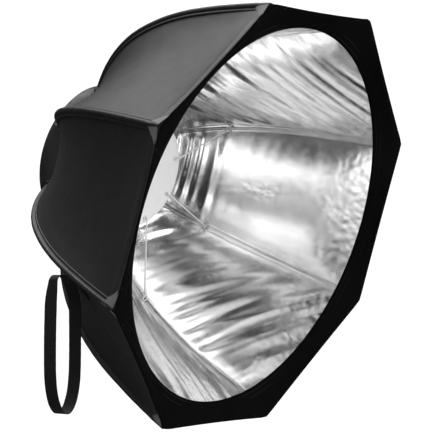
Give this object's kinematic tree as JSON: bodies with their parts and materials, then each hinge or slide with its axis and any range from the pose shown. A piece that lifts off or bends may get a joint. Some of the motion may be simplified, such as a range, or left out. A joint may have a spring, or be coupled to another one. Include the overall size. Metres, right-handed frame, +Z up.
{
  "type": "octabox",
  "caption": "Collapsible octagonal dish modifier: black fabric cover on curved folding ribs, silver liner, round front opening, hung deflector plate, rotating lamp collar and pull strap.",
  "frame": {"origin": "middle of the lamp bore in the rear collar, on the dish axis", "axes": "+Y along the dish axis towards the lamp behind, so the open front faces -Y; +Z up, with a flat side of the octagon at the top"},
  "size_m": [0.5972, 0.3546, 0.5986],
  "materials": {
    "rod": "spring steel rod, satin",
    "sleeve_fabric": "black coated nylon channel",
    "socket_plastic": "moulded glass filled nylon",
    "silver_liner": "metallised crinkled fabric",
    "cover_fabric": "black coated nylon, fine weave",
    "collar_plastic": "moulded plastic",
    "grip_rubber": "soft rubber",
    "ring_metal": "satin anodised",
    "bezel_plastic": "dark moulded plastic",
    "screw_steel": "plated steel",
    "deflector": "matt light grey",
    "grommet": "moulded plastic",
    "cord": "braided elastic cord",
    "webbing": "black woven webbing"
  },
  "bodies": {
    "collar": {"lamp_collar": "collar_plastic", "collar_grip": "grip_rubber"},
    "ring": {"speed_ring": "ring_metal", "ring_bezel": "bezel_plastic", "ring_screws": "screw_steel", "hinge_pins": "screw_steel"},
    "rib_1": {"rod_1": "rod", "rib_sleeve_1": "sleeve_fabric", "rod_socket_1": "socket_plastic", "liner_1": "silver_liner"},
    "gore_1a": {"cover_1a": "cover_fabric"},
    "gore_1b": {"cover_1b": "cover_fabric"},
    "rib_2": {"rod_2": "rod", "rib_sleeve_2": "sleeve_fabric", "rod_socket_2": "socket_plastic", "liner_2": "silver_liner"},
    "gore_2a": {"cover_2a": "cover_fabric"},
    "gore_2b": {"cover_2b": "cover_fabric"},
    "rib_3": {"rod_3": "rod", "rib_sleeve_3": "sleeve_fabric", "rod_socket_3": "socket_plastic", "liner_3": "silver_liner"},
    "gore_3a": {"cover_3a": "cover_fabric"},
    "gore_3b": {"cover_3b": "cover_fabric"},
    "rib_4": {"rod_4": "rod", "rib_sleeve_4": "sleeve_fabric", "rod_socket_4": "socket_plastic", "liner_4": "silver_liner"},
    "gore_4a": {"cover_4a": "cover_fabric"},
    "gore_4b": {"cover_4b": "cover_fabric"},
    "rib_5": {"rod_5": "rod", "rib_sleeve_5": "sleeve_fabric", "rod_socket_5": "socket_plastic", "liner_5": "silver_liner", "strap_tab": "webbing"},
    "gore_5a": {"cover_5a": "cover_fabric"},
    "gore_5b": {"cover_5b": "cover_fabric"},
    "rib_6": {"rod_6": "rod", "rib_sleeve_6": "sleeve_fabric", "rod_socket_6": "socket_plastic", "liner_6": "silver_liner"},
    "gore_6a": {"cover_6a": "cover_fabric"},
    "gore_6b": {"cover_6b": "cover_fabric"},
    "rib_7": {"rod_7": "rod", "rib_sleeve_7": "sleeve_fabric", "rod_socket_7": "socket_plastic", "liner_7": "silver_liner"},
    "gore_7a": {"cover_7a": "cover_fabric"},
    "gore_7b": {"cover_7b": "cover_fabric"},
    "rib_8": {"rod_8": "rod", "rib_sleeve_8": "sleeve_fabric", "rod_socket_8": "socket_plastic", "liner_8": "silver_liner"},
    "gore_8a": {"cover_8a": "cover_fabric"},
    "gore_8b": {"cover_8b": "cover_fabric"},
    "deflector": {"deflector_plate": "deflector", "cord_grommets": "grommet", "deflector_cords": "cord"},
    "strap": {"strap_loop": "webbing"}
  },
  "joints": [
    {"name": "ring_turn", "type": "hinge", "parent": "collar", "child": "ring", "pos_m": [0, 0, 0], "axis": [0, 1, 0], "continuous": true},
    {"name": "fold_1", "type": "hinge", "parent": "ring", "child": "rib_1", "pos_m": [0.08189, -0.01638, 0.03392], "axis": [0.3827, 0, -0.9239], "range_deg": [0, 36], "deforming": ["liner_1", "deflector_cords"]},
    {"name": "gather_1a", "type": "hinge", "parent": "rib_1", "child": "gore_1a", "pos_m": [0.0588, -0.0124, 0.0588], "axis": [0.6924, 0.2026, 0.6924], "range_deg": [0, 14], "deforming": ["cover_1a"]},
    {"name": "gather_1b", "type": "hinge", "parent": "rib_1", "child": "gore_1b", "pos_m": [0.08315, -0.0124, 0], "axis": [-0.9793, -0.2026, 0], "range_deg": [0, 14], "deforming": ["cover_1b"]},
    {"name": "fold_2", "type": "hinge", "parent": "ring", "child": "rib_2", "pos_m": [0.03392, -0.01638, 0.08189], "axis": [0.9239, 0, -0.3827], "range_deg": [0, 36], "deforming": ["liner_2"]},
    {"name": "gather_2a", "type": "hinge", "parent": "rib_2", "child": "gore_2a", "pos_m": [0, -0.0124, 0.08315], "axis": [0, 0.2026, 0.9793], "range_deg": [0, 14], "deforming": ["cover_2a"]},
    {"name": "gather_2b", "type": "hinge", "parent": "rib_2", "child": "gore_2b", "pos_m": [0.0588, -0.0124, 0.0588], "axis": [-0.6924, -0.2026, -0.6924], "range_deg": [0, 14], "deforming": ["cover_2b"]},
    {"name": "fold_3", "type": "hinge", "parent": "ring", "child": "rib_3", "pos_m": [-0.03392, -0.01638, 0.08189], "axis": [0.9239, 0, 0.3827], "range_deg": [0, 36], "deforming": ["liner_3"]},
    {"name": "gather_3a", "type": "hinge", "parent": "rib_3", "child": "gore_3a", "pos_m": [-0.0588, -0.0124, 0.0588], "axis": [-0.6924, 0.2026, 0.6924], "range_deg": [0, 14], "deforming": ["cover_3a"]},
    {"name": "gather_3b", "type": "hinge", "parent": "rib_3", "child": "gore_3b", "pos_m": [0, -0.0124, 0.08315], "axis": [0, -0.2026, -0.9793], "range_deg": [0, 14], "deforming": ["cover_3b"]},
    {"name": "fold_4", "type": "hinge", "parent": "ring", "child": "rib_4", "pos_m": [-0.08189, -0.01638, 0.03392], "axis": [0.3827, 0, 0.9239], "range_deg": [0, 36], "deforming": ["liner_4"]},
    {"name": "gather_4a", "type": "hinge", "parent": "rib_4", "child": "gore_4a", "pos_m": [-0.08315, -0.0124, 0], "axis": [-0.9793, 0.2026, 0], "range_deg": [0, 14], "deforming": ["cover_4a"]},
    {"name": "gather_4b", "type": "hinge", "parent": "rib_4", "child": "gore_4b", "pos_m": [-0.0588, -0.0124, 0.0588], "axis": [0.6924, -0.2026, -0.6924], "range_deg": [0, 14], "deforming": ["cover_4b"]},
    {"name": "fold_5", "type": "hinge", "parent": "ring", "child": "rib_5", "pos_m": [-0.08189, -0.01638, -0.03392], "axis": [-0.3827, 0, 0.9239], "range_deg": [0, 36], "deforming": ["liner_5"]},
    {"name": "gather_5a", "type": "hinge", "parent": "rib_5", "child": "gore_5a", "pos_m": [-0.0588, -0.0124, -0.0588], "axis": [-0.6924, 0.2026, -0.6924], "range_deg": [0, 14], "deforming": ["cover_5a"]},
    {"name": "gather_5b", "type": "hinge", "parent": "rib_5", "child": "gore_5b", "pos_m": [-0.08315, -0.0124, 0], "axis": [0.9793, -0.2026, 0], "range_deg": [0, 14], "deforming": ["cover_5b"]},
    {"name": "fold_6", "type": "hinge", "parent": "ring", "child": "rib_6", "pos_m": [-0.03392, -0.01638, -0.08189], "axis": [-0.9239, 0, 0.3827], "range_deg": [0, 36], "deforming": ["liner_6"]},
    {"name": "gather_6a", "type": "hinge", "parent": "rib_6", "child": "gore_6a", "pos_m": [0, -0.0124, -0.08315], "axis": [0, 0.2026, -0.9793], "range_deg": [0, 14], "deforming": ["cover_6a"]},
    {"name": "gather_6b", "type": "hinge", "parent": "rib_6", "child": "gore_6b", "pos_m": [-0.0588, -0.0124, -0.0588], "axis": [0.6924, -0.2026, 0.6924], "range_deg": [0, 14], "deforming": ["cover_6b"]},
    {"name": "fold_7", "type": "hinge", "parent": "ring", "child": "rib_7", "pos_m": [0.03392, -0.01638, -0.08189], "axis": [-0.9239, 0, -0.3827], "range_deg": [0, 36], "deforming": ["liner_7"]},
    {"name": "gather_7a", "type": "hinge", "parent": "rib_7", "child": "gore_7a", "pos_m": [0.0588, -0.0124, -0.0588], "axis": [0.6924, 0.2026, -0.6924], "range_deg": [0, 14], "deforming": ["cover_7a"]},
    {"name": "gather_7b", "type": "hinge", "parent": "rib_7", "child": "gore_7b", "pos_m": [0, -0.0124, -0.08315], "axis": [0, -0.2026, 0.9793], "range_deg": [0, 14], "deforming": ["cover_7b"]},
    {"name": "fold_8", "type": "hinge", "parent": "ring", "child": "rib_8", "pos_m": [0.08189, -0.01638, -0.03392], "axis": [-0.3827, 0, -0.9239], "range_deg": [0, 36], "deforming": ["liner_8"]},
    {"name": "gather_8a", "type": "hinge", "parent": "rib_8", "child": "gore_8a", "pos_m": [0.08315, -0.0124, 0], "axis": [0.9793, 0.2026, 0], "range_deg": [0, 14], "deforming": ["cover_8a"]},
    {"name": "gather_8b", "type": "hinge", "parent": "rib_8", "child": "gore_8b", "pos_m": [0.0588, -0.0124, -0.0588], "axis": [-0.6924, -0.2026, 0.6924], "range_deg": [0, 14], "deforming": ["cover_8b"]},
    {"name": "deflector_pull", "type": "slide", "parent": "ring", "child": "deflector", "axis": [0, -1, 0], "range_m": [0, 0.3]},
    {"name": "strap_swing", "type": "hinge", "parent": "rib_5", "child": "strap", "pos_m": [-0.27, -0.204, -0.128], "axis": [0, 0.9563, -0.2924], "range_deg": [0, 75]}
  ],
  "couplings": [
    {"joint": "gather_1a", "follows": "fold_1", "ratio": 0.377},
    {"joint": "gather_1b", "follows": "fold_1", "ratio": 0.377},
    {"joint": "fold_2", "follows": "fold_1", "ratio": 1},
    {"joint": "gather_2a", "follows": "fold_1", "ratio": 0.377},
    {"joint": "gather_2b", "follows": "fold_1", "ratio": 0.377},
    {"joint": "fold_3", "follows": "fold_1", "ratio": 1},
    {"joint": "gather_3a", "follows": "fold_1", "ratio": 0.377},
    {"joint": "gather_3b", "follows": "fold_1", "ratio": 0.377},
    {"joint": "fold_4", "follows": "fold_1", "ratio": 1},
    {"joint": "gather_4a", "follows": "fold_1", "ratio": 0.377},
    {"joint": "gather_4b", "follows": "fold_1", "ratio": 0.377},
    {"joint": "fold_5", "follows": "fold_1", "ratio": 1},
    {"joint": "gather_5a", "follows": "fold_1", "ratio": 0.377},
    {"joint": "gather_5b", "follows": "fold_1", "ratio": 0.377},
    {"joint": "fold_6", "follows": "fold_1", "ratio": 1},
    {"joint": "gather_6a", "follows": "fold_1", "ratio": 0.377},
    {"joint": "gather_6b", "follows": "fold_1", "ratio": 0.377},
    {"joint": "fold_7", "follows": "fold_1", "ratio": 1},
    {"joint": "gather_7a", "follows": "fold_1", "ratio": 0.377},
    {"joint": "gather_7b", "follows": "fold_1", "ratio": 0.377},
    {"joint": "fold_8", "follows": "fold_1", "ratio": 1},
    {"joint": "gather_8a", "follows": "fold_1", "ratio": 0.377},
    {"joint": "gather_8b", "follows": "fold_1", "ratio": 0.377}
  ]
}
